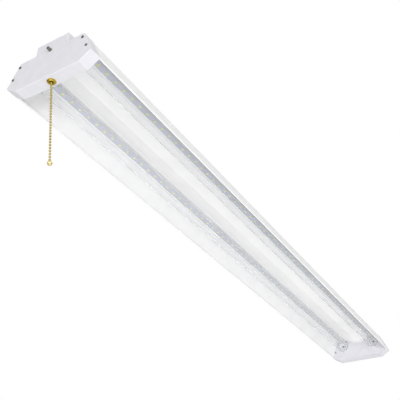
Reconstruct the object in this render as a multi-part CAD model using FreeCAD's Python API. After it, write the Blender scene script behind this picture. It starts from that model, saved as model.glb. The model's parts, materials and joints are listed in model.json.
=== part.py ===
import FreeCAD, Part
import math
import os
from FreeCAD import Vector

# Hanging shop light, 4 ft, two clear LED tubes under a folded white reflector, pull-chain switch at
# the -X end. Lengths in millimetres. X runs along the light, +Y to its left seen from the switch
# end, +Z up. The shapes are built with Z = 0 on the caps' bottom flat and moved at the end, so that
# the origin lies on the channel's top face, in the middle of the four hanging holes.

# overall
overall_length = 1200.0
sheet = 0.8                     # thickness of the folded steel
joint_gap = 0.2                 # clearance between fitted fixed pieces

# end-cap outline, seen along X, half of it
box_half_width = 28.0           # raised box over the channel
box_rise = 16.75                # raised box above the shoulders
flange_half_width = 56.0        # shoulder beside the raised box
flange_height = 51.4
side_half_width = 73.6          # widest corner
side_height = 12.6
flat_half_width = 54.4          # bottom flat
cap_depth = 18.7
cap_wall = 1.8
cap_face = 2.0
cap_round = 1.2
shell_step = 0.4                # the housing stands this much inside the caps' outline
plate_thickness = 2.0

# reflector pan
ridge_half_width = 28.0
ridge_drop = 9.2                # how far the middle fold hangs below the pan's top
lip_width = 3.0

# channel on top of the pan
foot_width = 8.0
foot_screw_count = 6            # on each side
foot_screw_end = 45.0           # first and last screw from the housing's ends
hanging_spacing_x = 1000.0
hanging_spacing_y = 36.0
hanging_hole_radius = 2.5

# LED tubes
tube_radius = 13.0
tube_wall = 1.0
tube_y = 40.2
tube_gap = 0.9                  # from the tube's crown to the pan, filled by the tape pads
plug_flange = 1.0
plug_length = 7.0
plug_hole_radius = 3.0
socket_wall = 1.2
socket_depth = 5.0
board_width = 11.3
board_thickness = 1.0
board_rise = 8.3                # LED face above the tube's axis
led_count = 60
led_end_margin = 3.55           # from the board's end to the first LED's middle
led_size = (3.5, 2.8, 0.7)
rail_height = 3.0
rail_reach = 4.9
pad_length = 60.0
pad_width = 6.0
pad_count = 5

# screws
face_screw_margin = 4.3         # from the caps' sloping side
face_screw_upper = 6.9          # upper screw, from the shoulder's corner along the slope
face_screw_lower = 14.8         # lower screw, from the widest corner along the slope
face_screw_head = 2.1
face_screw_shank = 1.2
face_screw_proud = 0.9
face_screw_tip = 2.4            # how far the tip shows past the inner plate
post_radius = 2.7
small_screw_head = 2.4
small_screw_shank = 1.3
small_screw_height = 1.3

# end brackets that tie the channel to the caps' inner plates
bracket_width = 30.0
bracket_leg = 8.0
bracket_thickness = 1.2
bracket_screw_spacing = 20.0

# cord inlet on the switch end
inlet_drop = 1.9                # below the caps' shoulder
inlet_y = 1.5
gland_radius = 2.2
gland_bore = 1.5
gland_proud = 5.5
gland_flange_radius = 2.7
gland_flange = 1.0
gland_end = 1.0                 # barrel past the locknut
locknut_radius = 4.2
locknut_height = 2.5
dimple_radius = 1.0             # moulded mark beside the raised box
dimple_depth = 1.2
dimple_inset = 1.7              # from the raised box's side and from the shoulder
wire_slot_width = 18.0
wire_slot_height = 10.5
wire_slot_margin = 1.9          # below the end bracket

# driver
driver_from_end = 151.0         # from the housing's switch end
driver_length = 170.0
driver_half_width = 20.0
driver_height = 15.5
driver_wall = 1.0
driver_ear = 12.0
driver_board_thickness = 1.6
driver_board_drop = 3.0
transformer_size = (20.0, 18.0, 8.5)
capacitor_radius = 4.0
capacitor_length = 16.0
terminal_size = (10.0, 26.0, 7.0)
terminal_pitch = 5.0

# pull switch in the cap's bay
switch_thickness = 13.6
chain_shift_x = 0.9             # chain's axis from the middle of the cap's bay
chain_y = -1.0
switch_left = 14.5              # body reach in +Y of the chain
switch_right = 9.0              # body reach in -Y of the chain
switch_height = 25.0
switch_wall = 1.3
lever_length = 6.5
lever_swing = 30.0              # degrees above and below level
lever_height = 13.0             # pivot above the cap's floor
lever_thickness = 3.0
lever_arm = 2.0
axle_radius = 1.2
axle_clearance = 0.05
rotor_radius = 5.5
rotor_thickness = 2.0
rotor_teeth = 8
contact_width = 1.0
pull_wire_radius = 0.6
bead_radius = 1.6
bead_clearance = 0.3
bushing_radius = 3.6
bushing_bore = 2.6
bushing_flange = 0.5
thread_fit = 0.05
nut_width = 11.4                # across the flats
nut_height = 1.2
nut_turn = 20                   # degrees from one corner on +X
bell_height = 1.2
bell_top_radius = 4.9
bell_bottom_radius = 4.4
bell_mouth_radius = 3.4
bell_round = 0.4
bead_in_mouth = 0.4             # top bead's centre above the bell's rim

# bead chain
bead_pitch = 4.48
link_radius = 0.45
link_gap = 0.1
upper_bead_count = 10
middle_bead_count = 9
lower_bead_count = 9
end_ball_radius = 3.4
chain_lean_x = 4.25             # degrees off plumb towards +X, as the light was held
chain_lean_y = -6.1             # degrees off plumb towards +Y

# wires
wire_radius = 0.9
lead_radius = 0.63
ground_wire_radius = 0.8
ground_reach = 60.0             # from the driver to the earth screw
wire_straight = 25.0            # straight run of the wires into the driver
ground_bend = 24.0              # from the earth screw to the earth wire's bend

# places worked out from the sizes above
half = overall_length / 2
mouth = half - cap_depth                     # caps' inner ends, from the middle
box_top = flange_height + box_rise
pan_top = flange_height - shell_step
channel_half = box_half_width - shell_step
channel_top = box_top - shell_step
tube_z = pan_top - sheet - tube_gap - tube_radius
led_z = tube_z + board_rise
floor_z = cap_wall
bay_x = -(mouth + plate_thickness + half - cap_face) / 2
switch_x = bay_x + chain_shift_x             # the chain's axis
pivot_y = chain_y + lever_length
pivot_z = floor_z + lever_height
pull_travel = 2 * lever_length * math.sin(math.radians(lever_swing))
bell_bottom = -nut_height - bell_height
chain_top = bell_bottom + bead_in_mouth
driver_top = channel_top - sheet - joint_gap
driver_x = -mouth + driver_from_end          # the driver's end that faces the switch
inlet_height = flange_height - inlet_drop
wire_slot_top = channel_top - sheet - bracket_leg - wire_slot_margin
wire_slot_bottom = wire_slot_top - wire_slot_height
tube_end = mouth - joint_gap - plug_flange
board_length = 2 * (tube_end - plug_length - joint_gap)
led_pitch = (board_length - 2 * led_end_margin) / (led_count - 1)
board_face = driver_top - driver_wall - driver_board_drop - driver_board_thickness
terminal_z = board_face - terminal_size[2] / 2
ground_x = driver_x - ground_reach
rotor_x = switch_x - lever_thickness / 2 - 0.4 - rotor_thickness
contact_x = rotor_x + 0.5
contact_places = (pivot_y - rotor_radius - 1.5, pivot_y + rotor_radius - 0.2)


def box(x0, x1, y0, y1, z0, z1):
    return Part.makeBox(x1 - x0, y1 - y0, z1 - z0, Vector(x0, y0, z0))


def rod(radius, start, direction, length):
    return Part.makeCylinder(radius, length, Vector(*start), Vector(*direction))


def ring(outer, inner, start, direction, length):
    return rod(outer, start, direction, length).cut(rod(inner, start, direction, length))


def prism_along_x(points, x0, x1):
    """Extrude a closed outline of (y, z) points from x0 to x1."""
    corners = [Vector(x0, y, z) for y, z in points]
    face = Part.Face(Part.makePolygon(corners + corners[:1]))
    return face.extrude(Vector(x1 - x0, 0, 0))


def offset_path(points, distance, closed):
    """Move a path of (y, z) points sideways to its right, with mitred corners."""
    count = len(points)
    moved = []
    for i in range(count):
        before = points[i - 1] if closed or i > 0 else None
        after = points[(i + 1) % count] if closed or i < count - 1 else None
        normals = []
        for a, b in ((before, points[i]), (points[i], after)):
            if a is not None and b is not None:
                length = math.hypot(b[0] - a[0], b[1] - a[1])
                normals.append(((b[1] - a[1]) / length, -(b[0] - a[0]) / length))
        ny = sum(n[0] for n in normals) / len(normals)
        nz = sum(n[1] for n in normals) / len(normals)
        scale = distance / (ny * ny + nz * nz)
        moved.append((points[i][0] + ny * scale, points[i][1] + nz * scale))
    return moved


def both_sides(half_points):
    """Complete an outline given for y >= 0 with its mirror image."""
    mirrored = [(-y, z) for y, z in reversed(half_points) if y > 0]
    return mirrored + list(half_points)


def folded_sheet(points, first, last):
    """The flat panels of a bent sheet between two points of its path, cut on their mitres.

    Its outer skin follows the path and its thickness lies to the right of it.
    """
    inner = offset_path(points, sheet, False)
    return [prism_along_x([points[i], points[i + 1], inner[i + 1], inner[i]], -mouth, mouth)
            for i in range(first, last)]


def drill(panels, hole):
    return [panel.cut(hole) for panel in panels]


def mirror_x(shape):
    return shape.mirror(Vector(0, 0, 0), Vector(1, 0, 0))


def mirror_y(shape):
    return shape.mirror(Vector(0, 0, 0), Vector(0, 1, 0))


def fuse_all(shapes):
    return shapes[0].fuse(shapes[1:]).removeSplitter()


def pan_head_screw(radius, height, shank, length, seat, direction):
    """Domed head standing on the seat, shank running the other way, cross recess in the head."""
    axis = Vector(*direction)
    head = rod(radius, seat, direction, height)
    rim = [e for e in head.Edges if e.Curve.TypeId == "Part::GeomCircle"]
    top = max(rim, key=lambda e: (e.Curve.Center - Vector(*seat)).dot(axis))
    head = head.makeFillet(height * 0.45, [top])
    body = head.fuse(rod(shank, seat, tuple(-axis), length))
    slot_depth = height * 0.4
    slot = Part.makeBox(radius * 1.1, radius * 0.28, slot_depth * 2)
    slot.translate(Vector(-radius * 0.55, -radius * 0.14, -slot_depth))
    cross = slot.fuse(slot.rotated(Vector(0, 0, 0), Vector(0, 0, 1), 90))
    cross.Placement = FreeCAD.Placement(
        Vector(*seat) + axis * height, FreeCAD.Rotation(Vector(0, 0, 1), axis))
    return body.cut(cross)


def bent_wire(points, radius):
    """A round wire along straight runs joined by tangent arcs as large as the runs allow."""
    stops = [Vector(*p) for p in points]
    edges = []
    start = stops[0]
    for a, corner, b in zip(stops, stops[1:], stops[2:]):
        into = (corner - a).normalize()
        out = (b - corner).normalize()
        turn = into.getAngle(out)
        cut = 0.45 * min((corner - a).Length, (b - corner).Length)
        first = corner - into * cut
        last = corner + out * cut
        bend = cut / math.tan(turn / 2)
        inward = (out - into).normalize()
        middle = corner + inward * (math.hypot(bend, cut) - bend)
        edges.append(Part.makeLine(start, first))
        edges.append(Part.Arc(first, middle, last).toShape())
        start = last
    edges.append(Part.makeLine(start, stops[-1]))
    path = Part.Wire(edges)
    circle = Part.Wire(Part.makeCircle(radius, stops[0], stops[1] - stops[0]))
    return path.makePipeShell([circle], True, False)


cap_half_outline = [
    (box_half_width, box_top), (box_half_width, flange_height), (flange_half_width, flange_height),
    (side_half_width, side_height), (flat_half_width, 0.0)]
cap_outline = both_sides(cap_half_outline)


def face_screw_points():
    """(y, z) of the four cap screws, two along each sloping side."""
    top = Vector(0, flange_half_width, flange_height)
    bottom = Vector(0, side_half_width, side_height)
    down = (bottom - top).normalize()
    inward = Vector(0, down.z, -down.y)
    upper = top + down * face_screw_upper + inward * face_screw_margin
    lower = bottom - down * face_screw_lower + inward * face_screw_margin
    return [(side * p.y, p.z) for side in (1, -1) for p in (upper, lower)]


def end_cap():
    """Plastic cap of the -X end: closed outer face, open towards the housing, four screw posts."""
    solid = prism_along_x(cap_outline, -half, -mouth)
    outer = [e for e in solid.Edges if abs(e.CenterOfMass.x + mouth) > 1e-3]
    solid = solid.makeFillet(cap_round, outer)
    hollow = prism_along_x(offset_path(cap_outline, cap_wall, True), -half + cap_face, -mouth + 1)
    cap = solid.cut(hollow)
    post_end = -mouth - plate_thickness - joint_gap
    for y, z in face_screw_points():
        start = (-half + cap_face / 2, y, z)
        cap = cap.fuse(rod(post_radius, start, (1, 0, 0), post_end + half - cap_face / 2))
    for y, z in face_screw_points():
        hole = rod(face_screw_shank + joint_gap, (-half - 1, y, z), (1, 0, 0), cap_depth + 2)
        cap = cap.cut(hole)
    return cap.removeSplitter()


def switch_end_cap():
    """The cap with the cord's inlet, the chain's hole and a moulded mark beside the raised box."""
    inlet = rod(gland_radius + joint_gap, (-half - 1, inlet_y, inlet_height), (1, 0, 0),
                cap_face + 2)
    chain_hole = rod(bushing_radius + joint_gap, (switch_x, chain_y, -1), (0, 0, 1), cap_wall + 2)
    dimple = rod(dimple_radius, (-half - 1, -box_half_width + dimple_inset,
                                 flange_height + dimple_inset), (1, 0, 0), 1 + dimple_depth)
    return end_cap().cut(inlet).cut(chain_hole).cut(dimple)


def end_plate():
    """Inner plate of the -X cap: closes its mouth and carries the two tube sockets."""
    outline = offset_path(cap_outline, cap_wall + joint_gap, True)
    plate = prism_along_x(outline, -mouth - plate_thickness, -mouth)
    for side in (1, -1):
        start = (-mouth, side * tube_y, tube_z)
        inner = tube_radius + joint_gap
        socket = ring(inner + socket_wall, inner, start, (1, 0, 0), socket_depth)
        crown = box(-mouth - 1, -mouth + socket_depth + 1, -half, half,
                    pan_top - sheet - joint_gap, box_top)
        plate = plate.fuse(socket.cut(crown))
        lead_hole = rod(plug_hole_radius, (-mouth - plate_thickness - 1, side * tube_y, tube_z),
                        (1, 0, 0), plate_thickness + 1 + plug_flange)
        plate = plate.cut(lead_hole)
    slot = box(-mouth - plate_thickness - 1, -mouth + 1, -wire_slot_width / 2, wire_slot_width / 2,
               wire_slot_bottom, wire_slot_top)
    plate = plate.cut(slot)
    for y, z in face_screw_points():
        start = (-mouth - plate_thickness - 1, y, z)
        plate = plate.cut(rod(face_screw_shank + thread_fit, start, (1, 0, 0), plate_thickness + 2))
    for side in (1, -1):
        start = (-mouth - plate_thickness - 1, side * bracket_screw_spacing / 2, bracket_z())
        plate = plate.cut(rod(small_screw_shank + thread_fit, start, (1, 0, 0), plate_thickness + 2))
    return plate.removeSplitter()


def cap_screws():
    """Four pan-head screws through the outer face into the inner plate."""
    length = cap_depth + face_screw_tip
    return [pan_head_screw(face_screw_head, face_screw_proud, face_screw_shank, length,
                           (-half, y, z), (-1, 0, 0)) for y, z in face_screw_points()]


def pan_path():
    """Outer skin of the pan: middle fold, flat tube seats, wings and lips."""
    half_path = [
        (0.0, pan_top - ridge_drop), (ridge_half_width, pan_top),
        (flange_half_width - shell_step, pan_top), (side_half_width - shell_step, side_height),
        (side_half_width - shell_step - lip_width, side_height)]
    mirrored = [(-y, z) for y, z in half_path[:0:-1]]
    return mirrored + half_path


def foot_screw_points():
    reach = mouth - foot_screw_end
    step = 2 * reach / (foot_screw_count - 1)
    y = channel_half + foot_width / 2
    return [(-reach + i * step, side * y) for side in (1, -1) for i in range(foot_screw_count)]


def reflector_pan():
    """Middle fold and both tube seats; the wings are bent down from its long edges."""
    pan = folded_sheet(pan_path(), 2, 6)
    for x, y in foot_screw_points():
        pan = drill(pan, rod(small_screw_shank + thread_fit, (x, y, pan_top - 2), (0, 0, 1), 4))
    return pan


def right_wing():
    return folded_sheet(pan_path(), 0, 2)


def left_wing():
    return folded_sheet(pan_path(), 6, 8)


def channel_cover():
    """Hat section on the pan: it houses the driver and has the hanging holes on top."""
    foot_z = pan_top + sheet
    half_path = [
        (channel_half, channel_top), (channel_half, foot_z), (channel_half + foot_width, foot_z)]
    mirrored = [(-y, z) for y, z in reversed(half_path)]
    cover = folded_sheet(mirrored + half_path, 0, 5)
    for x, y in foot_screw_points():
        cover = drill(cover, rod(small_screw_shank + joint_gap, (x, y, pan_top - 1), (0, 0, 1), 4))
    for sx in (1, -1):
        for sy in (1, -1):
            place = (sx * hanging_spacing_x / 2, sy * hanging_spacing_y / 2, channel_top - 3)
            cover = drill(cover, rod(hanging_hole_radius, place, (0, 0, 1), 6))
        for sy in (1, -1):
            place = (sx * bracket_x(), sy * bracket_screw_spacing / 2, channel_top - 3)
            cover = drill(cover, rod(small_screw_shank + joint_gap, place, (0, 0, 1), 6))
    for x in driver_screw_places():
        place = (x, 0, channel_top - 3)
        cover = drill(cover, rod(small_screw_shank + thread_fit, place, (0, 0, 1), 6))
    earth_hole = rod(small_screw_shank + thread_fit, (ground_x, -channel_half - 2, terminal_z),
                     (0, 1, 0), 4)
    return drill(cover, earth_hole)


def channel_screws():
    """Self-tapping screws through the channel's feet into the pan."""
    length = 2 * sheet + small_screw_height
    seat = pan_top + sheet
    return [pan_head_screw(small_screw_head, small_screw_height, small_screw_shank, length,
                           (x, y, seat), (0, 0, 1)) for x, y in foot_screw_points()]


def bracket_x():
    return mouth - bracket_leg / 2 - bracket_thickness / 2


def bracket_z():
    return channel_top - sheet - bracket_leg / 2 - bracket_thickness / 2


def end_bracket():
    """Steel angle at the -X end: one leg on the inner plate, one leg under the channel's top."""
    top = channel_top - sheet
    upright = box(-mouth, -mouth + bracket_thickness, -bracket_width / 2, bracket_width / 2,
                  top - bracket_leg, top)
    level = box(-mouth, -mouth + bracket_leg, -bracket_width / 2, bracket_width / 2,
                top - bracket_thickness, top)
    bracket = fuse_all([upright, level])
    for side in (1, -1):
        y = side * bracket_screw_spacing / 2
        bracket = bracket.cut(
            rod(small_screw_shank + thread_fit, (-bracket_x(), y, top - 3), (0, 0, 1), 6))
        bracket = bracket.cut(
            rod(small_screw_shank + thread_fit, (-mouth - 2, y, bracket_z()), (1, 0, 0), 6))
    return bracket


def bracket_screws():
    screws = []
    through_top = sheet + bracket_thickness + 0.8
    through_plate = plate_thickness + bracket_thickness + 0.8
    for side in (1, -1):
        y = side * bracket_screw_spacing / 2
        screws.append(pan_head_screw(
            small_screw_head, small_screw_height, small_screw_shank, through_top,
            (-bracket_x(), y, channel_top), (0, 0, 1)))
        screws.append(pan_head_screw(
            small_screw_head, small_screw_height, small_screw_shank, through_plate,
            (-mouth - plate_thickness, y, bracket_z()), (-1, 0, 0)))
    return screws


def tube_lens():
    """Clear round tube with a slotted rail on each side that holds the LED board's edges."""
    length = 2 * tube_end
    start = (-tube_end, tube_y, tube_z)
    bore = tube_radius - tube_wall
    tube = ring(tube_radius, bore, start, (1, 0, 0), length)
    rails = rod(bore + tube_wall / 2, start, (1, 0, 0), length).common(
        box(-half, half, tube_y - tube_radius, tube_y + tube_radius,
            led_z + board_thickness / 2 - rail_height / 2,
            led_z + board_thickness / 2 + rail_height / 2))
    rails = rails.cut(box(-half, half, tube_y - rail_reach, tube_y + rail_reach, 0, box_top))
    slot_half = board_width / 2 + joint_gap / 2
    slot = box(-half, half, tube_y - slot_half, tube_y + slot_half,
               led_z - joint_gap / 2, led_z + board_thickness + joint_gap / 2)
    ends = rod(tube_radius, (-tube_end, tube_y, tube_z), (1, 0, 0), plug_length + joint_gap)
    for trim in (slot, ends, mirror_x(ends)):
        rails = rails.cut(trim)
    return fuse_all([tube, rails])


def tube_plug():
    """End plug of a tube at the -X end: a flange against the plate and a hollow spigot inside."""
    flange = ring(tube_radius, plug_hole_radius, (-tube_end - plug_flange, tube_y, tube_z),
                  (1, 0, 0), plug_flange)
    spigot_radius = tube_radius - tube_wall - joint_gap
    spigot = ring(spigot_radius, spigot_radius - 1.4, (-tube_end, tube_y, tube_z),
                  (1, 0, 0), plug_length)
    floor = ring(spigot_radius, plug_hole_radius, (-tube_end, tube_y, tube_z), (1, 0, 0), 2.0)
    return fuse_all([flange, spigot, floor])


def led_board():
    reach = board_length / 2
    return box(-reach, reach, tube_y - board_width / 2, tube_y + board_width / 2,
               led_z, led_z + board_thickness)


def led_chips():
    long_side, short_side, height = led_size
    first = -led_pitch * (led_count - 1) / 2
    chips = []
    for i in range(led_count):
        x = first + i * led_pitch
        chips.append(box(x - short_side / 2, x + short_side / 2, tube_y - long_side / 2,
                         tube_y + long_side / 2, led_z - height, led_z))
    return chips


def tape_pads():
    """Foam tape between the tube's crown and the pan, in short lengths."""
    reach = board_length / 2 - pad_length
    pads = []
    for i in range(pad_count):
        x = -reach + i * 2 * reach / (pad_count - 1)
        pads.append(box(x - pad_length / 2, x + pad_length / 2, tube_y - pad_width / 2,
                        tube_y + pad_width / 2, tube_z + tube_radius, pan_top - sheet))
    return pads


def driver_screw_places():
    end = driver_ear / 2
    return (driver_x - end, driver_x + driver_length + end)


def driver_tray():
    """Plate under the channel's top with an ear at each end and four board posts."""
    tray = box(driver_x - driver_ear, driver_x + driver_length + driver_ear,
               -driver_half_width, driver_half_width, driver_top - driver_wall, driver_top)
    for x in (driver_x + 8, driver_x + driver_length - 8):
        for y in (-driver_half_width + 6, driver_half_width - 6):
            tray = tray.fuse(rod(2.0, (x, y, driver_top - driver_wall), (0, 0, -1),
                                 driver_board_drop))
    for x in driver_screw_places():
        tray = tray.cut(rod(small_screw_shank + joint_gap, (x, 0, driver_top - 4), (0, 0, 1), 6))
    return tray.removeSplitter()


def driver_case():
    """Open-topped cover that closes the driver from below, with a wire notch at each end."""
    top = driver_top - driver_wall
    bottom = driver_top - driver_height
    outer = box(driver_x, driver_x + driver_length, -driver_half_width, driver_half_width,
                bottom, top)
    inner = box(driver_x + driver_wall, driver_x + driver_length - driver_wall,
                -driver_half_width + driver_wall, driver_half_width - driver_wall,
                bottom + driver_wall, top + 1)
    reach = terminal_size[1] / 2 - 0.5
    notch = box(driver_x - 1, driver_x + driver_wall + 1, -reach, reach,
                terminal_z - 2.5, terminal_z + 2.5)
    return outer.cut(inner).cut(notch)


def driver_board():
    return box(driver_x + 2, driver_x + driver_length - 2, -driver_half_width + 2,
               driver_half_width - 2, board_face, board_face + driver_board_thickness)


def driver_transformer():
    length, width, height = transformer_size
    x = driver_x + driver_length * 0.55
    core = box(x - length / 2, x + length / 2, -width / 2, width / 2,
               board_face - height, board_face)
    window = box(x - length / 2 + 3, x + length / 2 - 3, -width / 2 - 1, width / 2 + 1,
                 board_face - height + 2, board_face - 2)
    winding = box(x - length / 2 + 3.2, x + length / 2 - 3.2, -width / 2 + 1, width / 2 - 1,
                  board_face - height + 2.0, board_face - 2.0)
    return core.cut(window).fuse(winding)


def driver_capacitors():
    places = ((0.28, -8.0), (0.28, 3.0), (0.78, -6.0))
    z = board_face - capacitor_radius
    return [rod(capacitor_radius, (driver_x + share * driver_length, y, z), (1, 0, 0),
                capacitor_length) for share, y in places]


def driver_terminals():
    length, width, height = terminal_size
    blocks = []
    for x in (driver_x + 4, driver_x + driver_length - 4 - length):
        block = box(x, x + length, -width / 2, width / 2, board_face - height, board_face)
        for y in (-2 * terminal_pitch, -terminal_pitch, 0, terminal_pitch, 2 * terminal_pitch):
            block = block.cut(rod(1.3, (x - 1, y, terminal_z), (1, 0, 0), 6))
            block = block.cut(rod(1.4, (x + length - 3, y, board_face - height - 1),
                                  (0, 0, 1), 3))
        blocks.append(block)
    return blocks


def driver_screws():
    seat = driver_top - driver_wall
    length = driver_wall + joint_gap + sheet
    return [pan_head_screw(small_screw_head, small_screw_height, small_screw_shank, length,
                           (x, 0, seat), (0, 0, -1)) for x in driver_screw_places()]


def cord_gland():
    """Bushing on the outer face through which the supply cord enters."""
    barrel = ring(gland_radius, gland_bore, (-half - gland_proud, inlet_y, inlet_height),
                  (1, 0, 0), gland_proud + cap_face + locknut_height + gland_end)
    flange = ring(gland_flange_radius, gland_bore, (-half - gland_flange, inlet_y, inlet_height),
                  (1, 0, 0), gland_flange)
    return fuse_all([barrel, flange])


def gland_locknut():
    nut = rod(locknut_radius, (-half + cap_face, inlet_y, inlet_height), (1, 0, 0),
              locknut_height)
    flats = box(-half, -mouth, inlet_y - locknut_radius * 0.87, inlet_y + locknut_radius * 0.87,
                inlet_height - locknut_radius, inlet_height + locknut_radius)
    hole = rod(gland_radius + thread_fit, (-half, inlet_y, inlet_height), (1, 0, 0), cap_depth)
    return nut.common(flats).cut(hole)


def switch_box(inset):
    """The switch body's outer block, made smaller all round by the inset."""
    return box(bay_x - switch_thickness / 2 + inset, bay_x + switch_thickness / 2 - inset,
               chain_y - switch_right + inset, chain_y + switch_left - inset,
               floor_z + inset, floor_z + switch_height - inset)


def switch_housing():
    """Body open towards +X, with holes for the bushing, the axle and the two terminals."""
    lid = box(bay_x + switch_thickness / 2 - switch_wall, 0, -half, half, 0, box_top)
    shell = switch_box(0).cut(switch_box(switch_wall)).cut(lid)
    shell = shell.cut(rod(bushing_radius + thread_fit, (switch_x, chain_y, 0), (0, 0, 1),
                          floor_z + switch_wall + 0.5))
    shell = shell.cut(rod(axle_radius + thread_fit, (-half, pivot_y, pivot_z), (1, 0, 0), 8))
    for y in contact_places:
        shell = shell.cut(box(contact_x - joint_gap, contact_x + contact_width + joint_gap,
                              y - 1.6, y + 1.6, floor_z + switch_height - 3,
                              floor_z + switch_height + 1))
    return shell


def switch_cover():
    inner = bay_x + switch_thickness / 2 - switch_wall
    cover = box(inner, inner + switch_wall, chain_y - switch_right, chain_y + switch_left, floor_z,
                floor_z + switch_height)
    return cover.cut(rod(axle_radius + thread_fit, (inner - 1, pivot_y, pivot_z), (1, 0, 0), 4))


def switch_bushing():
    """Threaded brass tube through the cap's floor, with a flange inside the switch body."""
    bottom = -nut_height - bell_height / 2
    top = floor_z + switch_wall
    tube = rod(bushing_radius, (switch_x, chain_y, bottom), (0, 0, 1), top - bottom)
    flange = rod(bushing_radius + bushing_flange, (switch_x, chain_y, top), (0, 0, 1), 1.0)
    bore = rod(bushing_bore, (switch_x, chain_y, bottom - 1), (0, 0, 1), top - bottom + 4)
    return fuse_all([tube, flange]).cut(bore)


def ferrule_nut():
    """Hexagonal brass nut against the cap's bottom flat."""
    corner = nut_width / math.sqrt(3)
    angles = [math.radians(nut_turn + 60 * i) for i in range(6)]
    points = [Vector(switch_x + corner * math.cos(a), chain_y + corner * math.sin(a), -nut_height)
              for a in angles]
    nut = Part.Face(Part.makePolygon(points + points[:1])).extrude(Vector(0, 0, nut_height))
    round_off = Part.makeCone(corner - 1.0, corner + 2.0, nut_height,
                              Vector(switch_x, chain_y, -nut_height))
    hole = rod(bushing_radius + thread_fit, (switch_x, chain_y, -nut_height - 1), (0, 0, 1),
               nut_height + 2)
    return nut.common(round_off).cut(hole)


def bell_mouth():
    """Flared brass sleeve on the bushing's end, from which the chain hangs."""
    outer = Part.makeCone(bell_bottom_radius, bell_top_radius, bell_height,
                          Vector(switch_x, chain_y, bell_bottom))
    rim = [e for e in outer.Edges if abs(e.CenterOfMass.z - bell_bottom) < 1e-6 and e.Closed]
    outer = outer.makeFillet(bell_round, rim)
    thread = rod(bushing_radius + thread_fit, (switch_x, chain_y, -nut_height - bell_height / 2),
                 (0, 0, 1), bell_height)
    flare = Part.makeCone(bell_mouth_radius, bushing_bore, bell_height / 2,
                          Vector(switch_x, chain_y, bell_bottom))
    return outer.cut(thread).cut(flare)


def lever_axle():
    length = switch_thickness - 2 * joint_gap
    return rod(axle_radius, (bay_x - length / 2, pivot_y, pivot_z), (1, 0, 0), length)


def pull_lever():
    """Forked lever that the pull wire's top bead presses down; built level, stored raised."""
    x0 = switch_x - lever_thickness / 2
    hub = rod(2.6, (x0, pivot_y, pivot_z), (1, 0, 0), lever_thickness)
    arm = box(x0, x0 + lever_thickness, pivot_y - lever_length - 1.6, pivot_y,
              pivot_z - lever_arm / 2, pivot_z + lever_arm / 2)
    fork = box(switch_x - pull_wire_radius - 0.3, switch_x + pull_wire_radius + 0.3,
               pivot_y - lever_length - 3, pivot_y - lever_length + 2.0,
               pivot_z - 3, pivot_z + 3)
    hole = rod(axle_radius + axle_clearance, (x0 - 1, pivot_y, pivot_z), (1, 0, 0),
               lever_thickness + 2)
    lever = fuse_all([hub, arm]).cut(fork).cut(hole)
    return lever.rotated(Vector(switch_x, pivot_y, pivot_z), Vector(1, 0, 0), -lever_swing)


def return_spring():
    """Coiled return spring beside the lever, drawn as the plain ring that it fills."""
    x0 = switch_x + lever_thickness / 2 + 0.3
    return ring(2.6, axle_radius + 0.3, (x0, pivot_y, pivot_z), (1, 0, 0), 2.0)


def ratchet_rotor():
    """Ratchet wheel beside the lever; the contact bridge is fixed on its far face."""
    points = []
    for i in range(rotor_teeth):
        for share, radius in ((0.0, rotor_radius), (0.85, rotor_radius - 1.2)):
            angle = 2 * math.pi * (i + share) / rotor_teeth
            points.append((pivot_y + radius * math.cos(angle), pivot_z + radius * math.sin(angle)))
    wheel = prism_along_x(points, rotor_x, rotor_x + rotor_thickness)
    return wheel.cut(rod(axle_radius + axle_clearance, (rotor_x - 1, pivot_y, pivot_z),
                         (1, 0, 0), rotor_thickness + 2))


def contact_bridge():
    """Brass strip across the rotor's far face."""
    x0 = rotor_x - 0.6
    strip = box(x0, rotor_x, pivot_y - rotor_radius + 1.4, pivot_y + rotor_radius - 1.4,
                pivot_z - 1.8, pivot_z + 1.8)
    return strip.cut(rod(axle_radius + axle_clearance, (x0 - 1, pivot_y, pivot_z), (1, 0, 0), 4))


def fixed_contacts():
    """Two brass blades above the rotor whose ends stand out of the body as terminals."""
    blades = []
    for y in contact_places:
        blades.append(box(contact_x, contact_x + contact_width, y - 1.4, y + 1.4,
                          pivot_z + rotor_radius + 0.3, floor_z + switch_height + 5))
    return blades


def pull_wire():
    """Wire through the bushing with a bead above the lever's fork; the chain hangs from it."""
    tip_z = pivot_z + lever_length * math.sin(math.radians(lever_swing))
    ball_z = tip_z + lever_arm / 2 / math.cos(math.radians(lever_swing)) + bead_radius
    ball_z = ball_z + bead_clearance
    bottom = chain_top + bead_radius + link_gap
    wire = rod(pull_wire_radius, (switch_x, chain_y, bottom), (0, 0, 1), ball_z - bottom)
    ball = Part.makeSphere(bead_radius, Vector(switch_x, chain_y, ball_z))
    return fuse_all([wire, ball])


def chain_place(steps):
    """Centre of the bead that many pitches below the chain's top bead."""
    lean_x = math.radians(chain_lean_x)
    lean_y = math.radians(chain_lean_y)
    direction = Vector(math.sin(lean_x), math.sin(lean_y) * math.cos(lean_x),
                       -math.cos(lean_y) * math.cos(lean_x))
    return Vector(switch_x, chain_y, chain_top) + direction * (steps * bead_pitch)


def chain_piece(first, count):
    """Beads number first to first + count - 1, each hanging on a link from the one before."""
    shapes = []
    for i in range(first, first + count):
        above = chain_place(i - 1)
        here = chain_place(i)
        along = (here - above).normalize()
        start = above + along * (bead_radius + link_gap if i == first else bead_radius * 0.8)
        link = Part.makeCylinder(link_radius, (here - start).Length, start, along)
        shapes.append(link)
        shapes.append(Part.makeSphere(bead_radius, here))
    return fuse_all(shapes)


def chain_top_bead():
    return Part.makeSphere(bead_radius, chain_place(0))


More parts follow.
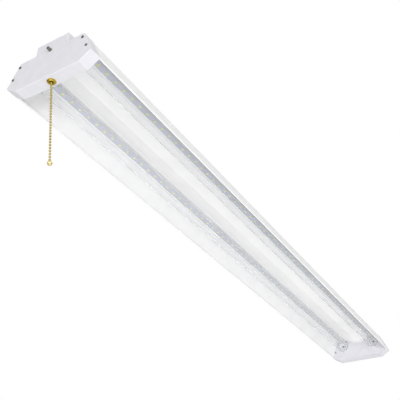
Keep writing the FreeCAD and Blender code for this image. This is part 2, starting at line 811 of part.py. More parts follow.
def chain_end_ball():
    """Round end pull fixed on the last bead by a short sleeve."""
    last = chain_place(upper_bead_count + middle_bead_count + lower_bead_count)
    along = (last - chain_place(0)).normalize()
    centre = last + along * (bead_radius + end_ball_radius)
    start = last + along * (bead_radius + 0.02)
    sleeve = Part.makeCylinder(1.5, end_ball_radius, start, along)
    return fuse_all([Part.makeSphere(end_ball_radius, centre), sleeve])


def switch_terminal(side):
    """Where a wire meets the top of one switch terminal."""
    return (contact_x + contact_width + wire_radius + 0.1, contact_places[side],
            floor_z + switch_height + 3.0)


def mains_wires():
    """Live wire by way of the switch and neutral wire straight to the driver."""
    inlet = -half + cap_face + locknut_height + gland_end + joint_gap + 0.3
    bay = -mouth - plate_thickness - 6.5
    inside = -mouth + 12
    slot_z = (wire_slot_bottom + wire_slot_top) / 2
    low, high = terminal_z - 1, terminal_z
    near, entry = driver_x - wire_straight, driver_x + 6
    live_in = [(inlet, inlet_y - 0.6, inlet_height - 1.0), (inlet + 4.0, -1.5, inlet_height - 2.5),
               (inlet + 3.8, -1.5, inlet_height - 11), switch_terminal(0)]
    live_out = [switch_terminal(1), (inlet + 3.8, contact_places[1] - 0.8, inlet_height - 9),
                (bay, 1.5, slot_z - 0.3), (inside, 1.5, slot_z + 1),
                (near, terminal_pitch, low), (entry, terminal_pitch, high)]
    neutral = [(inlet, inlet_y, inlet_height + 1.0), (bay + 2.5, -3.0, slot_z + 0.8),
               (inside, -3.4, slot_z + 1), (near, -terminal_pitch, low),
               (entry, -terminal_pitch, high)]
    return [bent_wire(route, wire_radius) for route in (live_in, live_out, neutral)]


def led_lead_wires():
    """One lead from the driver to each tube, through the wire slot and the plug's hole."""
    bay = -mouth - plate_thickness - 9.5
    slot_y = wire_slot_width / 2 - 2.4
    slot_z = wire_slot_bottom + 3.0
    leads = []
    for side in (1, -1):
        y = side * 2 * terminal_pitch
        leads.append(bent_wire([
            (driver_x + 6, y, terminal_z), (driver_x - wire_straight, y, terminal_z - 1),
            (-mouth + 16, side * slot_y, slot_z), (bay, side * slot_y, slot_z),
            (bay, side * tube_y, tube_z), (-tube_end + 6, side * tube_y, tube_z)],
            lead_radius))
    return leads


def ground_screw():
    """Green screw on the channel's inner side wall."""
    y = -channel_half + sheet
    return pan_head_screw(small_screw_head, small_screw_height, small_screw_shank, sheet + 1.5,
                          (ground_x, y, terminal_z), (0, 1, 0))


def ground_wire():
    """Earth wire from the driver to the screw on the channel's side."""
    y = -channel_half + sheet + small_screw_height + ground_wire_radius
    return bent_wire([(driver_x + 6, 0, terminal_z), (driver_x - 12, 0, terminal_z + 1),
                      (ground_x + ground_bend, y + 2, terminal_z + 2), (ground_x, y, terminal_z)],
                     ground_wire_radius)


def save(name, shapes):
    """Move to the part's origin and write one STEP file."""
    group = Part.makeCompound([s.copy() for s in shapes]) if len(shapes) > 1 else shapes[0].copy()
    group.translate(Vector(0, 0, -channel_top))
    count = len(group.Solids)
    if not group.isValid() or count < 1:
        raise ValueError(name + " is not a sound solid")
    group.exportStep(os.path.join("parts", name + ".step"))
    print(name, count, "solids, volume", round(group.Volume, 1))


def build():
    os.makedirs("parts", exist_ok=True)
    pieces = {
        "reflector_pan": reflector_pan(),
        "left_reflector_wing": left_wing(),
        "right_reflector_wing": right_wing(),
        "channel_cover": channel_cover(),
        "channel_screws": channel_screws(),
        "end_brackets": [end_bracket(), mirror_x(end_bracket())],
        "bracket_screws": bracket_screws() + [mirror_x(s) for s in bracket_screws()],
        "switch_end_cap": [switch_end_cap()],
        "switch_end_cap_screws": cap_screws(),
        "switch_end_plate": [end_plate()],
        "far_end_cap": [mirror_x(end_cap())],
        "far_end_cap_screws": [mirror_x(s) for s in cap_screws()],
        "far_end_plate": [mirror_x(end_plate())],
        "driver_tray": [driver_tray()],
        "driver_case": [driver_case()],
        "driver_board": [driver_board()],
        "driver_transformer": [driver_transformer()],
        "driver_capacitors": driver_capacitors(),
        "driver_terminals": driver_terminals(),
        "driver_screws": driver_screws(),
        "mains_wires": mains_wires(),
        "led_lead_wires": led_lead_wires(),
        "ground_wire": [ground_wire()],
        "ground_screw": [ground_screw()],
        "cord_gland": [cord_gland()],
        "gland_locknut": [gland_locknut()],
        "switch_housing": [switch_housing()],
        "switch_cover": [switch_cover()],
        "switch_bushing": [switch_bushing()],
        "ferrule_nut": [ferrule_nut()],
        "bell_mouth": [bell_mouth()],
        "lever_axle": [lever_axle()],
        "pull_lever": [pull_lever()],
        "return_spring": [return_spring()],
        "ratchet_rotor": [ratchet_rotor()],
        "contact_bridge": [contact_bridge()],
        "fixed_contacts": fixed_contacts(),
        "pull_wire": [pull_wire()],
        "chain_top_bead": [chain_top_bead()],
        "bead_chain_upper": [chain_piece(1, upper_bead_count)],
        "bead_chain_middle": [chain_piece(1 + upper_bead_count, middle_bead_count)],
        "bead_chain_lower": [chain_piece(1 + upper_bead_count + middle_bead_count,
                                         lower_bead_count)],
        "chain_end_ball": [chain_end_ball()],
    }
    for side, turn in (("left", lambda s: s), ("right", mirror_y)):
        pieces[side + "_tube_lens"] = [turn(tube_lens())]
        pieces[side + "_tube_plugs"] = [turn(tube_plug()), turn(mirror_x(tube_plug()))]
        pieces[side + "_led_board"] = [turn(led_board())]
        pieces[side + "_led_chips"] = [turn(s) for s in led_chips()]
        pieces[side + "_tape_pads"] = [turn(s) for s in tape_pads()]
    for name, shapes in pieces.items():
        save(name, shapes)
    print("pull travel", round(pull_travel, 3), "mm, chain top", round(chain_top - channel_top, 2))


build()
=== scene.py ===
import json
import math
import bmesh
import bpy
from mathutils import Matrix, Vector


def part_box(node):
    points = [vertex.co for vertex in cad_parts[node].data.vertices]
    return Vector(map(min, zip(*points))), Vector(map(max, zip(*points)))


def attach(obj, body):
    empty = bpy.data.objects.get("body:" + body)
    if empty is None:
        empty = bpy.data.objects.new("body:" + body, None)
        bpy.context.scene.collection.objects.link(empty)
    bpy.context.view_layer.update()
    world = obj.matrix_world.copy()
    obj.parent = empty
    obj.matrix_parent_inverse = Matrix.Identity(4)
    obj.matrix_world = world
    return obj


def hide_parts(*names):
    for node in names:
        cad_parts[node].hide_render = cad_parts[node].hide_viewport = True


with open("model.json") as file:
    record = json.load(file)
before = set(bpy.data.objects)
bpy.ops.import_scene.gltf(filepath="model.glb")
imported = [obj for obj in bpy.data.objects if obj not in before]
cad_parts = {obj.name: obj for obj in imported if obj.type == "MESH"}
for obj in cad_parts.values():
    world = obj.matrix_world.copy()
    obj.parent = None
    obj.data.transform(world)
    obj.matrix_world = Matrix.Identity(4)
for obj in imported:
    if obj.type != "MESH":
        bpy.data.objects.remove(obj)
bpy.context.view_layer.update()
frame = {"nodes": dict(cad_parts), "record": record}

MM = 0.001

# ---- the photograph's camera, fitted to the corners of the light ----
CAMERA_PLACE = (-1.00331, -0.49052, -0.65189)
CAMERA_RIGHT = (0.51928, -0.8544, 0.018679)
CAMERA_DOWN = (0.480461, 0.273796, -0.833182)
CAMERA_LENS = 57.65             # in millimetres, as the sensor's width
SENSOR_WIDTH = 36.0
CLIP_START = 0.01

# ---- surroundings, in metres and watts ----
WORLD_STRENGTH = 0.45           # for matt surfaces; what is seen or mirrored is plain white
FLOOR_DROP = 1.6                # the floor below the light's top
FLOOR_REACH = 6.0
LAMPS = (                       # name, place, point it faces, diameter, power
    ("key", (-2.52, -2.98, -1.32), (-0.2, 0, 0), 2.0, 72),
    ("front", (-4.2, -0.3, -0.5), (-0.2, 0, 0), 2.0, 34),
    ("under", (-0.2, -0.2, -1.35), (-0.2, 0, 0), 3.0, 17),
    ("side", (0.2, -2.6, 2.0), (0, 0, 0), 2.0, 16),
    ("far", (0.25, -0.1, -0.5), (0.6, 0, -0.03), 0.3, 0.22),
)

# ---- looks ----
WHITE = (1, 1, 1, 1)
COLOUR_STOPS = (0.35, 0.65)     # noise values that give the darkest and the palest colour
NOISE_MIDDLE = (0.3, 0.7)       # most of a noise field lies between these
GRAIN_DETAIL, BROAD_DETAIL = 4.0, 2.0
BROAD_SCALE = 0.03              # scale of the colour's clouds, as a share of the grain's
GRAIN_DEPTH = 0.2 * MM
TUBE_COLOUR = (0.985, 0.987, 0.99, 1)
TUBE_IOR = 1.15
TUBE_ROUGH = (0.0, 0.015)
TUBE_GRAIN = 40
TUBE_STRETCH = (0.1, 1, 1)      # the grain is drawn out along the tube
TUBE_HAZE = 0.08                # share of white haze in each face of the clear tube
HAZE_COLOUR = (0.97, 0.97, 0.975, 1)
PAINTED_NODES = ("channel_screws",)     # their tips show under the reflector, painted with it
SMOOTH_ANGLE = math.radians(30)         # steeper edges stay sharp

# ---- clear tubes ----
TUBE_WALL = 1.0 * MM
TUBE_FACETS = 96
RAIL_HEIGHT = 3.0 * MM
RAIL_REACH = 4.9 * MM           # from the tube's middle to a rail's inner edge
RAIL_GAP = 0.05 * MM            # above and below the board in its slot

# ---- LEDs ----
CHIP_COUNT = 60
CHIP_RATIO = 0.8                # an LED's length, as a share of its width
CHIP_FRAME = 0.03 * MM          # rim of the LED's body around its phosphor
POCKET_DEPTH = 0.12 * MM        # pocket in the LED's face
WINDOW_DROP = 0.04 * MM         # the phosphor lies this deep in it
PAD_LENGTH = 1.1 * MM           # solder pads beside each LED
PAD_INSET = 0.4 * MM            # they are narrower than it by this at each side
TRACE_WIDTH = 0.5 * MM
FOIL = 0.035 * MM               # thickness of pads and traces

# ---- chain ----
BEADS = {"upper": 10, "middle": 9, "lower": 9}      # in each stretch below the top bead
BEAD_SEGMENTS, BEAD_ROWS = 20, 9
BEAD_HOLE = 0.5 * MM            # radius of the bore through a bead
LIP_DEPTH = 0.35 * MM           # the bead's wall turns into the bore by this
LIP_RADIUS = BEAD_HOLE * 0.96
LINK_SEGMENTS = 12
LINK_RADIUS = 0.3 * MM
LINK_TUCK = 0.72                # a link ends inside the bead, at this share of its radius
LINK_FLARE = LINK_RADIUS * 1.25
FLARE_LENGTH = 0.3 * MM
JOINT_GAP = 0.03 * MM           # from the bead above a joint to the link that swings under it
BALL_SEGMENTS, BALL_ROWS = 32, 16
NECK_RADIUS = 1.5 * MM          # of the end ball's neck
NECK_TIP = NECK_RADIUS * 0.8
NECK_SHOULDER = 1.1 * MM        # height above the ball at which the neck starts to narrow
NECK_HEIGHT = 1.4 * MM


# ---------------------------------------------------------------- materials
def new_material(name):
    material = bpy.data.materials.new(name)
    material.use_nodes = True
    tree = material.node_tree
    return material, tree, tree.nodes["Principled BSDF"]


def noise(tree, scale, detail, stretch=(1, 1, 1)):
    """A noise field in object space, drawn out along the axes whose stretch is under 1."""
    texture = tree.nodes.new("ShaderNodeTexNoise")
    texture.inputs["Scale"].default_value = scale
    texture.inputs["Detail"].default_value = detail
    place = tree.nodes.new("ShaderNodeTexCoord")
    mapping = tree.nodes.new("ShaderNodeMapping")
    mapping.inputs["Scale"].default_value = stretch
    tree.links.new(place.outputs["Object"], mapping.inputs["Vector"])
    tree.links.new(mapping.outputs["Vector"], texture.inputs["Vector"])
    return texture.outputs["Fac"]


def ramp(tree, source, low, high):
    """Colour from low to high as the source goes from one stop to the other."""
    node = tree.nodes.new("ShaderNodeValToRGB")
    for element, stop, colour in zip(node.color_ramp.elements, COLOUR_STOPS, (low, high)):
        element.position = stop
        element.color = (*colour, 1)
    tree.links.new(source, node.inputs["Fac"])
    return node.outputs["Color"]


def spread(tree, source, low, high):
    """Map the middle of a noise field onto the range from low to high."""
    node = tree.nodes.new("ShaderNodeMapRange")
    node.inputs["From Min"].default_value = NOISE_MIDDLE[0]
    node.inputs["From Max"].default_value = NOISE_MIDDLE[1]
    node.inputs["To Min"].default_value = low
    node.inputs["To Max"].default_value = high
    tree.links.new(source, node.inputs["Value"])
    return node.outputs["Result"]


def add_bump(tree, shader, source, strength):
    bump = tree.nodes.new("ShaderNodeBump")
    bump.inputs["Strength"].default_value = strength
    bump.inputs["Distance"].default_value = GRAIN_DEPTH
    tree.links.new(source, bump.inputs["Height"])
    tree.links.new(bump.outputs["Normal"], shader.inputs["Normal"])


def surface(name, low, high, rough, grain, bump, metal=0.0, specular=0.5):
    """Colour, gloss and surface grain that vary a little over the piece."""
    material, tree, shader = new_material(name)
    field = noise(tree, grain, GRAIN_DETAIL)
    broad = noise(tree, grain * BROAD_SCALE, BROAD_DETAIL)
    tree.links.new(ramp(tree, broad, low, high), shader.inputs["Base Color"])
    tree.links.new(spread(tree, field, *rough), shader.inputs["Roughness"])
    add_bump(tree, shader, field, bump)
    shader.inputs["Metallic"].default_value = metal
    shader.inputs["Specular IOR Level"].default_value = specular
    return material


def clear_plastic():
    """Clear tube: it bends and mirrors what the eye sees, and lets light pass to the inside."""
    material, tree, shader = new_material("clear_extrusion")
    shader.inputs["Base Color"].default_value = TUBE_COLOUR
    shader.inputs["Transmission Weight"].default_value = 1.0
    shader.inputs["IOR"].default_value = TUBE_IOR
    grain = noise(tree, TUBE_GRAIN, BROAD_DETAIL, TUBE_STRETCH)
    tree.links.new(spread(tree, grain, *TUBE_ROUGH), shader.inputs["Roughness"])
    through = tree.nodes.new("ShaderNodeBsdfTransparent")
    through.inputs["Color"].default_value = TUBE_COLOUR
    light_path = tree.nodes.new("ShaderNodeLightPath")
    unseen = tree.nodes.new("ShaderNodeMath")
    unseen.operation = "MAXIMUM"
    tree.links.new(light_path.outputs["Is Shadow Ray"], unseen.inputs[0])
    tree.links.new(light_path.outputs["Is Diffuse Ray"], unseen.inputs[1])
    haze = tree.nodes.new("ShaderNodeBsdfDiffuse")
    haze.inputs["Color"].default_value = HAZE_COLOUR
    wall = tree.nodes.new("ShaderNodeMixShader")
    wall.inputs["Fac"].default_value = TUBE_HAZE
    tree.links.new(shader.outputs["BSDF"], wall.inputs[1])
    tree.links.new(haze.outputs["BSDF"], wall.inputs[2])
    mix = tree.nodes.new("ShaderNodeMixShader")
    tree.links.new(unseen.outputs["Value"], mix.inputs["Fac"])
    tree.links.new(wall.outputs["Shader"], mix.inputs[1])
    tree.links.new(through.outputs["BSDF"], mix.inputs[2])
    tree.links.new(mix.outputs["Shader"], tree.nodes["Material Output"].inputs["Surface"])
    return material


# Each surface: name, darkest and palest colour, roughness from and to, scale of the grain,
# strength of its bump.
MATERIALS = {
    "white_steel": surface("white_enamel", (0.9, 0.9, 0.9), (0.925, 0.925, 0.923), (0.35, 0.45),
                           900, 0.05, specular=0.2),
    "white_plastic": surface("white_moulding", (0.735, 0.73, 0.772), (0.765, 0.76, 0.8),
                             (0.42, 0.52), 2500, 0.08, specular=0.3),
    "plug_plastic": surface("plug_moulding", (0.7, 0.71, 0.73), (0.76, 0.77, 0.79),
                            (0.4, 0.5), 2500, 0.08),
    "foam_tape": surface("foam_tape", (0.86, 0.86, 0.86), (0.92, 0.92, 0.92), (0.8, 0.95),
                         3000, 0.5),
    "black_screw": surface("black_oxide_screw", (0.1, 0.098, 0.1), (0.18, 0.175, 0.18),
                           (0.35, 0.5), 1500, 0.1, metal=0.7),
    "zinc": surface("zinc_plate", (0.6, 0.6, 0.62), (0.72, 0.72, 0.73), (0.25, 0.45), 1200,
                    0.1, metal=1.0),
    "driver_white": surface("driver_moulding", (0.8, 0.8, 0.8), (0.86, 0.86, 0.86),
                            (0.45, 0.55), 2000, 0.1),
    "board_green": surface("green_laminate", (0.02, 0.12, 0.05), (0.03, 0.17, 0.07),
                           (0.25, 0.4), 1500, 0.1),
    "ferrite": surface("ferrite_block", (0.02, 0.02, 0.02), (0.05, 0.05, 0.05), (0.5, 0.7),
                       1500, 0.2),
    "capacitor_sleeve": surface("capacitor_sleeve", (0.01, 0.015, 0.06), (0.02, 0.03, 0.09),
                                (0.2, 0.3), 1200, 0.05),
    "terminal_plastic": surface("terminal_moulding", (0.75, 0.75, 0.68), (0.82, 0.82, 0.76),
                                (0.4, 0.5), 2000, 0.1),
    "black_wire": surface("black_insulation", (0.01, 0.01, 0.01), (0.03, 0.03, 0.03),
                          (0.35, 0.5), 1500, 0.1),
    "white_wire": surface("white_insulation", (0.75, 0.75, 0.74), (0.83, 0.83, 0.82),
                          (0.35, 0.5), 1500, 0.1),
    "green_wire": surface("green_insulation", (0.02, 0.2, 0.04), (0.03, 0.28, 0.06),
                          (0.35, 0.5), 1500, 0.1),
    "green_screw": surface("green_screw_head", (0.02, 0.16, 0.04), (0.03, 0.22, 0.05),
                           (0.3, 0.4), 1500, 0.1, metal=0.5),
    "brown_rubber": surface("brown_bushing", (0.14, 0.13, 0.12), (0.2, 0.19, 0.18),
                            (0.5, 0.7), 2500, 0.2),
    "black_plastic": surface("black_moulding", (0.012, 0.012, 0.013), (0.03, 0.03, 0.032),
                             (0.35, 0.5), 2500, 0.15),
    "nylon": surface("natural_nylon", (0.7, 0.66, 0.52), (0.78, 0.74, 0.62), (0.4, 0.5),
                     2500, 0.1),
    "spring_steel": surface("bright_steel", (0.5, 0.5, 0.52), (0.62, 0.62, 0.64),
                            (0.2, 0.35), 1500, 0.1, metal=1.0),
    "brass": surface("brass", (0.3, 0.2, 0.015), (0.6, 0.44, 0.06), (0.14, 0.28), 1400, 0.08,
                     metal=1.0),
    "board_white": surface("board_mask", (0.45, 0.47, 0.56), (0.5, 0.52, 0.61), (0.3, 0.45),
                           1500, 0.05),
    "led_phosphor": surface("phosphor", (0.82, 0.9, 0.01), (0.88, 0.95, 0.02), (0.4, 0.6),
                            3000, 0.1, specular=0.2),
    "clear_plastic": clear_plastic(),
}
BEAD_FINISH, LINK_HIGHLIGHT = 0, 1         # places in the chain's materials: brass for the beads, a pale painted highlight for the links
# The beads wear the chain's brass; the links wear the same brass painted near-white gold, a
# painted highlight for the bright gaps between the beads.
CHAIN_BRASS_AND_HIGHLIGHT = (
    surface("bead_brass", (0.35, 0.27, 0.065), (0.46, 0.36, 0.095), (0.2, 0.35), 1400, 0.08,
            metal=1.0),
    surface("link_painted_highlight", (0.93, 0.84, 0.55), (0.97, 0.9, 0.64), (0.2, 0.35), 1400, 0.08,
            metal=1.0))
BALL_BRASS = (
    surface("polished_brass", (0.42, 0.31, 0.08), (0.8, 0.68, 0.36), (0.05, 0.14), 3000, 0.05,
            metal=1.0),)


def dress_nodes():
    """Give every CAD node the material of its slot, and the painted ones white enamel."""
    for entry in frame["record"]["subparts"]:
        slot = "white_steel" if entry["node"] in PAINTED_NODES else entry["material_slot"]
        node = frame["nodes"][entry["node"]]
        node.data.materials.clear()
        node.data.materials.append(MATERIALS[slot])


# ---------------------------------------------------------------- making pieces
def add_piece(name, mesh, body, slot, replaced=(), piece_materials=()):
    """Turn a bmesh into a piece that rides a body and wears the material of a slot.

    Where a slot has several materials, such as a finish and a painted highlight, the faces'
    material index picks one.
    """
    data = bpy.data.meshes.new(name)
    bmesh.ops.recalc_face_normals(mesh, faces=mesh.faces)
    mesh.to_mesh(data)
    mesh.free()
    data.shade_smooth()
    data.set_sharp_from_angle(angle=SMOOTH_ANGLE)
    for material in piece_materials or (MATERIALS[slot],):
        data.materials.append(material)
    piece = bpy.data.objects.new(name, data)
    bpy.context.scene.collection.objects.link(piece)
    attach(piece, body)
    if replaced:
        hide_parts(*replaced)


def add_sides(mesh, near, far):
    """Faces between two closed loops of as many points."""
    for i in range(len(near)):
        j = (i + 1) % len(near)
        mesh.faces.new((near[i], near[j], far[j], far[i]))


def add_box(mesh, low, high):
    corners = [mesh.verts.new((x, y, z)) for x in (low[0], high[0]) for y in (low[1], high[1])
               for z in (low[2], high[2])]
    for a, b, c, d in ((0, 1, 3, 2), (4, 6, 7, 5), (0, 4, 5, 1), (2, 3, 7, 6), (0, 2, 6, 4),
                       (1, 5, 7, 3)):
        mesh.faces.new((corners[a], corners[b], corners[c], corners[d]))


def add_tray(mesh, low, high, rim, depth):
    """Box with a pocket of some depth in its lower face, inside a rim."""
    def corners(inset, z):
        return [mesh.verts.new((x, y, z)) for x, y in (
            (low[0] + inset, low[1] + inset), (high[0] - inset, low[1] + inset),
            (high[0] - inset, high[1] - inset), (low[0] + inset, high[1] - inset))]

    loops = [corners(0, high[2]), corners(0, low[2]), corners(rim, low[2]),
             corners(rim, low[2] + depth)]
    for near, far in zip(loops, loops[1:]):
        add_sides(mesh, near, far)
    mesh.faces.new(loops[0])
    mesh.faces.new(loops[-1])


def add_pipe(mesh, outer, inner, x0, x1):
    """Extrude the wall between two outlines of (y, z) points along X."""
    loops = [[[mesh.verts.new((x, y, z)) for y, z in points] for x in (x0, x1)]
             for points in (outer, inner)]
    for near, far in loops:
        add_sides(mesh, near, far)
    (near, far), (near_bore, far_bore) = loops
    for i in range(len(near)):
        j = (i + 1) % len(near)
        mesh.faces.new((near[i], near_bore[i], near_bore[j], near[j]))
        mesh.faces.new((far[i], far[j], far_bore[j], far_bore[i]))


def add_lathe(mesh, start, axis, profile, segments, material_number=0, bored=False):
    """Turn a profile of (distance along the axis, radius) points round the axis.

    It starts and ends on the axis, or is bored: its last point is joined to its first.
    """
    axis = axis.normalized()
    side = axis.orthogonal().normalized()
    other = axis.cross(side)
    rings = []
    for along, radius in profile:
        centre = start + axis * along
        if radius == 0:
            rings.append([mesh.verts.new(centre)])
            continue
        rings.append([mesh.verts.new(centre + (side * math.cos(a) + other * math.sin(a)) * radius)
                      for a in (2 * math.pi * i / segments for i in range(segments))])
    for a, b in zip(rings, rings[1:] + (rings[:1] if bored else [])):
        for i in range(segments):
            j = (i + 1) % segments
            if len(a) == 1:
                corners = (a[0], b[i], b[j])
            elif len(b) == 1:
                corners = (a[i], b[0], a[j])
            else:
                corners = (a[i], b[i], b[j], a[j])
            mesh.faces.new(corners).material_index = material_number


# ---------------------------------------------------------------- tubes and LEDs
def circle(centre, radius):
    return [(centre[0] + radius * math.cos(a), centre[1] + radius * math.sin(a))
            for a in (2 * math.pi * i / TUBE_FACETS for i in range(TUBE_FACETS))]


def tube_piece(side):
    """Smooth clear tube with the two slotted rails that hold its board."""
    low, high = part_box(side + "_tube_lens")
    centre = ((low[1] + high[1]) / 2, (low[2] + high[2]) / 2)
    radius = (high[1] - low[1]) / 2
    bore = radius - TUBE_WALL
    board_low, board_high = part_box(side + "_led_board")
    mesh = bmesh.new()
    add_pipe(mesh, circle(centre, radius), circle(centre, bore), low[0], high[0])
    middle = (board_low[2] + board_high[2]) / 2
    for sign in (1, -1):
        for z0, z1 in ((middle - RAIL_HEIGHT / 2, board_low[2] - RAIL_GAP),
                       (board_high[2] + RAIL_GAP, middle + RAIL_HEIGHT / 2)):
            wall = math.sqrt(bore ** 2 - max(abs(z0 - centre[1]), abs(z1 - centre[1])) ** 2)
            edges = (centre[0] + sign * RAIL_REACH, centre[0] + sign * wall)
            add_box(mesh, (board_low[0], min(edges), z0), (board_high[0], max(edges), z1))
    add_piece(side + "_clear_tube", mesh, "fixture", "clear_plastic", (side + "_tube_lens",))


def chip_places(side):
    """Middles of a tube's LEDs along X, and an LED's length."""
    low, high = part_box(side + "_led_chips")
    length = (high[1] - low[1]) * CHIP_RATIO
    first, last = low[0] + length / 2, high[0] - length / 2
    step = (last - first) / (CHIP_COUNT - 1)
    return [first + i * step for i in range(CHIP_COUNT)], length


def led_pieces(side):
    """White LED bodies with a yellow phosphor window, and the board's tinned pads and traces."""
    low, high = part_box(side + "_led_chips")
    y0, y1 = low[1], high[1]
    face, board = low[2], high[2]
    middle = (y0 + y1) / 2
    places, length = chip_places(side)
    bodies, windows, foils = bmesh.new(), bmesh.new(), bmesh.new()
    for x in places:
        x0, x1 = x - length / 2, x + length / 2
        add_tray(bodies, (x0, y0, face), (x1, y1, board), CHIP_FRAME, POCKET_DEPTH)
        add_box(windows, (x0 + CHIP_FRAME, y0 + CHIP_FRAME, face + WINDOW_DROP),
                (x1 - CHIP_FRAME, y1 - CHIP_FRAME, face + POCKET_DEPTH))
        for pad_start, pad_end in ((x1, x1 + PAD_LENGTH), (x0 - PAD_LENGTH, x0)):
            add_box(foils, (pad_start, y0 + PAD_INSET, board - FOIL),
                    (pad_end, y1 - PAD_INSET, board))
    for x, after in zip(places, places[1:]):
        add_box(foils, (x + length / 2 + PAD_LENGTH, middle - TRACE_WIDTH / 2, board - FOIL),
                (after - length / 2 - PAD_LENGTH, middle + TRACE_WIDTH / 2, board))
    add_piece(side + "_led_bodies", bodies, "fixture", "plug_plastic", (side + "_led_chips",))
    add_piece(side + "_led_windows", windows, "fixture", "led_phosphor", (side + "_led_chips",))
    add_piece(side + "_board_foil", foils, "fixture", "zinc")


# ---------------------------------------------------------------- chain
def box_centre(node):
    low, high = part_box(node)
    return (Vector(low) + Vector(high)) / 2


def chain_line():
    """Top bead's centre, direction, pitch, bead radius, end ball's radius and its centre."""
    low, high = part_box("chain_top_bead")
    bead = (high[0] - low[0]) / 2
    top = box_centre("chain_top_bead")
    low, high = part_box("chain_end_ball")
    ball = (high[0] - low[0]) / 2
    centre = Vector(((low[0] + high[0]) / 2, (low[1] + high[1]) / 2, low[2] + ball))
    pitch = ((centre - top).length - bead - ball) / sum(BEADS.values())
    return top, (centre - top).normalized(), pitch, bead, ball, centre


def bead_profile(radius):
    """Round bead with an inturned lip at each end of its bore."""
    tip = math.asin(BEAD_HOLE / radius)
    end = radius * math.cos(tip)
    points = [(-end + LIP_DEPTH, LIP_RADIUS)]
    for i in range(BEAD_ROWS + 1):
        angle = tip + (math.pi - 2 * tip) * i / BEAD_ROWS
        points.append((-radius * math.cos(angle), radius * math.sin(angle)))
    points.append((end - LIP_DEPTH, LIP_RADIUS))
    return points


def ball_profile(radius):
    """End ball under a short neck that narrows at its tip."""
    tip = math.asin(NECK_RADIUS / radius)
    top = -radius * math.cos(tip)
    points = [(top - NECK_HEIGHT, 0), (top - NECK_HEIGHT, NECK_TIP),
              (top - NECK_SHOULDER, NECK_RADIUS), (top, NECK_RADIUS)]
    for i in range(1, BALL_ROWS):
        angle = tip + (math.pi - tip) * i / BALL_ROWS
        points.append((-radius * math.cos(angle), radius * math.sin(angle)))
    points.append((radius, 0))
    return points


def add_bead(mesh, centre, axis, radius):
    add_lathe(mesh, centre, axis, bead_profile(radius), BEAD_SEGMENTS, BEAD_FINISH, bored=True)


def add_link(mesh, above, here, radius, outside):
    """Dumbbell link between two beads; its ends flare inside them.

    At a joint its upper end lies just outside the bead, so that it can swing round it.
    """
    axis = (here - above).normalized()
    tuck = radius * LINK_TUCK
    start = radius + JOINT_GAP if outside else tuck
    stop = (here - above).length - tuck
    # the link wears the pale painted highlight, not the beads' brass
    add_lathe(mesh, above, axis, [
        (start, 0), (start, BEAD_HOLE if outside else LINK_FLARE),
        (start + FLARE_LENGTH, LINK_RADIUS), (stop - FLARE_LENGTH, LINK_RADIUS),
        (stop, LINK_FLARE), (stop, 0)], LINK_SEGMENTS, LINK_HIGHLIGHT)


def chain_pieces():
    top, axis, pitch, bead, ball, centre = chain_line()
    mesh = bmesh.new()
    add_bead(mesh, top, axis, bead)
    add_piece("chain_first_bead", mesh, "chain_swivel", "brass", ("chain_top_bead",))
    first = 1
    for name, count in BEADS.items():
        mesh = bmesh.new()
        for i in range(first, first + count):
            here = top + axis * (pitch * i)
            add_link(mesh, here - axis * pitch, here, bead, i == first)
            add_bead(mesh, here, axis, bead)
        # beads in brass, links in the pale painted highlight
        add_piece("chain_beads_" + name, mesh, "chain_" + name, "brass",
                  ("bead_chain_" + name,), CHAIN_BRASS_AND_HIGHLIGHT)
        first += count
    mesh = bmesh.new()
    add_lathe(mesh, centre, axis, ball_profile(ball), BALL_SEGMENTS)
    add_piece("chain_pull_ball", mesh, "chain_lower", "brass", ("chain_end_ball",), BALL_BRASS)


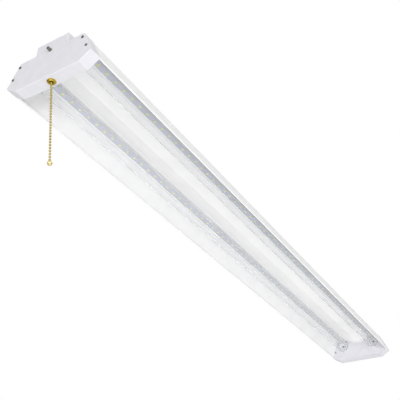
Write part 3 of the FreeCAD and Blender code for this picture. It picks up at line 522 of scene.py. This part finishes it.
# ---------------------------------------------------------------- stage
def world_light():
    """Soft light on matt surfaces; plain white where the world is seen, mirrored or refracted."""
    world = bpy.data.worlds.new("studio")
    bpy.context.scene.world = world
    world.use_nodes = True
    tree = world.node_tree
    soft = tree.nodes["Background"]
    soft.inputs["Color"].default_value = WHITE
    soft.inputs["Strength"].default_value = WORLD_STRENGTH
    plain = tree.nodes.new("ShaderNodeBackground")
    plain.inputs["Color"].default_value = WHITE
    plain.inputs["Strength"].default_value = 1.0
    path = tree.nodes.new("ShaderNodeLightPath")
    seen = path.outputs["Is Camera Ray"]
    for name in ("Is Glossy Ray", "Is Transmission Ray"):
        either = tree.nodes.new("ShaderNodeMath")
        either.operation = "MAXIMUM"
        tree.links.new(seen, either.inputs[0])
        tree.links.new(path.outputs[name], either.inputs[1])
        seen = either.outputs["Value"]
    mix = tree.nodes.new("ShaderNodeMixShader")
    tree.links.new(seen, mix.inputs["Fac"])
    tree.links.new(soft.outputs["Background"], mix.inputs[1])
    tree.links.new(plain.outputs["Background"], mix.inputs[2])
    tree.links.new(mix.outputs["Shader"], tree.nodes["World Output"].inputs["Surface"])


def floor():
    reach, z = FLOOR_REACH, -FLOOR_DROP
    data = bpy.data.meshes.new("floor")
    data.from_pydata([(-reach, -reach, z), (reach, -reach, z), (reach, reach, z),
                      (-reach, reach, z)], [], [(0, 1, 2, 3)])
    piece = bpy.data.objects.new("floor", data)
    bpy.context.scene.collection.objects.link(piece)
    data.materials.append(surface("pale_floor", (0.8, 0.8, 0.8), (0.84, 0.84, 0.84),
                                  (0.6, 0.8), 60, 0.05))


def soft_lamp(name, place, target, size, power):
    data = bpy.data.lights.new(name, "AREA")
    data.shape = "DISK"
    data.size = size
    data.energy = power
    lamp = bpy.data.objects.new(name, data)
    bpy.context.scene.collection.objects.link(lamp)
    lamp.location = place
    lamp.rotation_euler = (Vector(target) - Vector(place)).to_track_quat("-Z", "Y").to_euler()
    lamp.visible_camera = False


def camera():
    data = bpy.data.cameras.new("camera")
    data.lens = CAMERA_LENS
    data.sensor_width = SENSOR_WIDTH
    data.clip_start = CLIP_START
    eye = bpy.data.objects.new("camera", data)
    bpy.context.scene.collection.objects.link(eye)
    right, down = Vector(CAMERA_RIGHT), Vector(CAMERA_DOWN)
    forward = right.cross(down)
    turn = Matrix((right, -down, -forward)).transposed()
    eye.matrix_world = Matrix.Translation(CAMERA_PLACE) @ turn.to_4x4()
    bpy.context.scene.camera = eye


dress_nodes()
for tube_side in ("left", "right"):
    tube_piece(tube_side)
    led_pieces(tube_side)
chain_pieces()
world_light()
floor()
camera()
for lamp in LAMPS:
    soft_lamp(*lamp)
bpy.context.scene.view_settings.view_transform = "Standard"
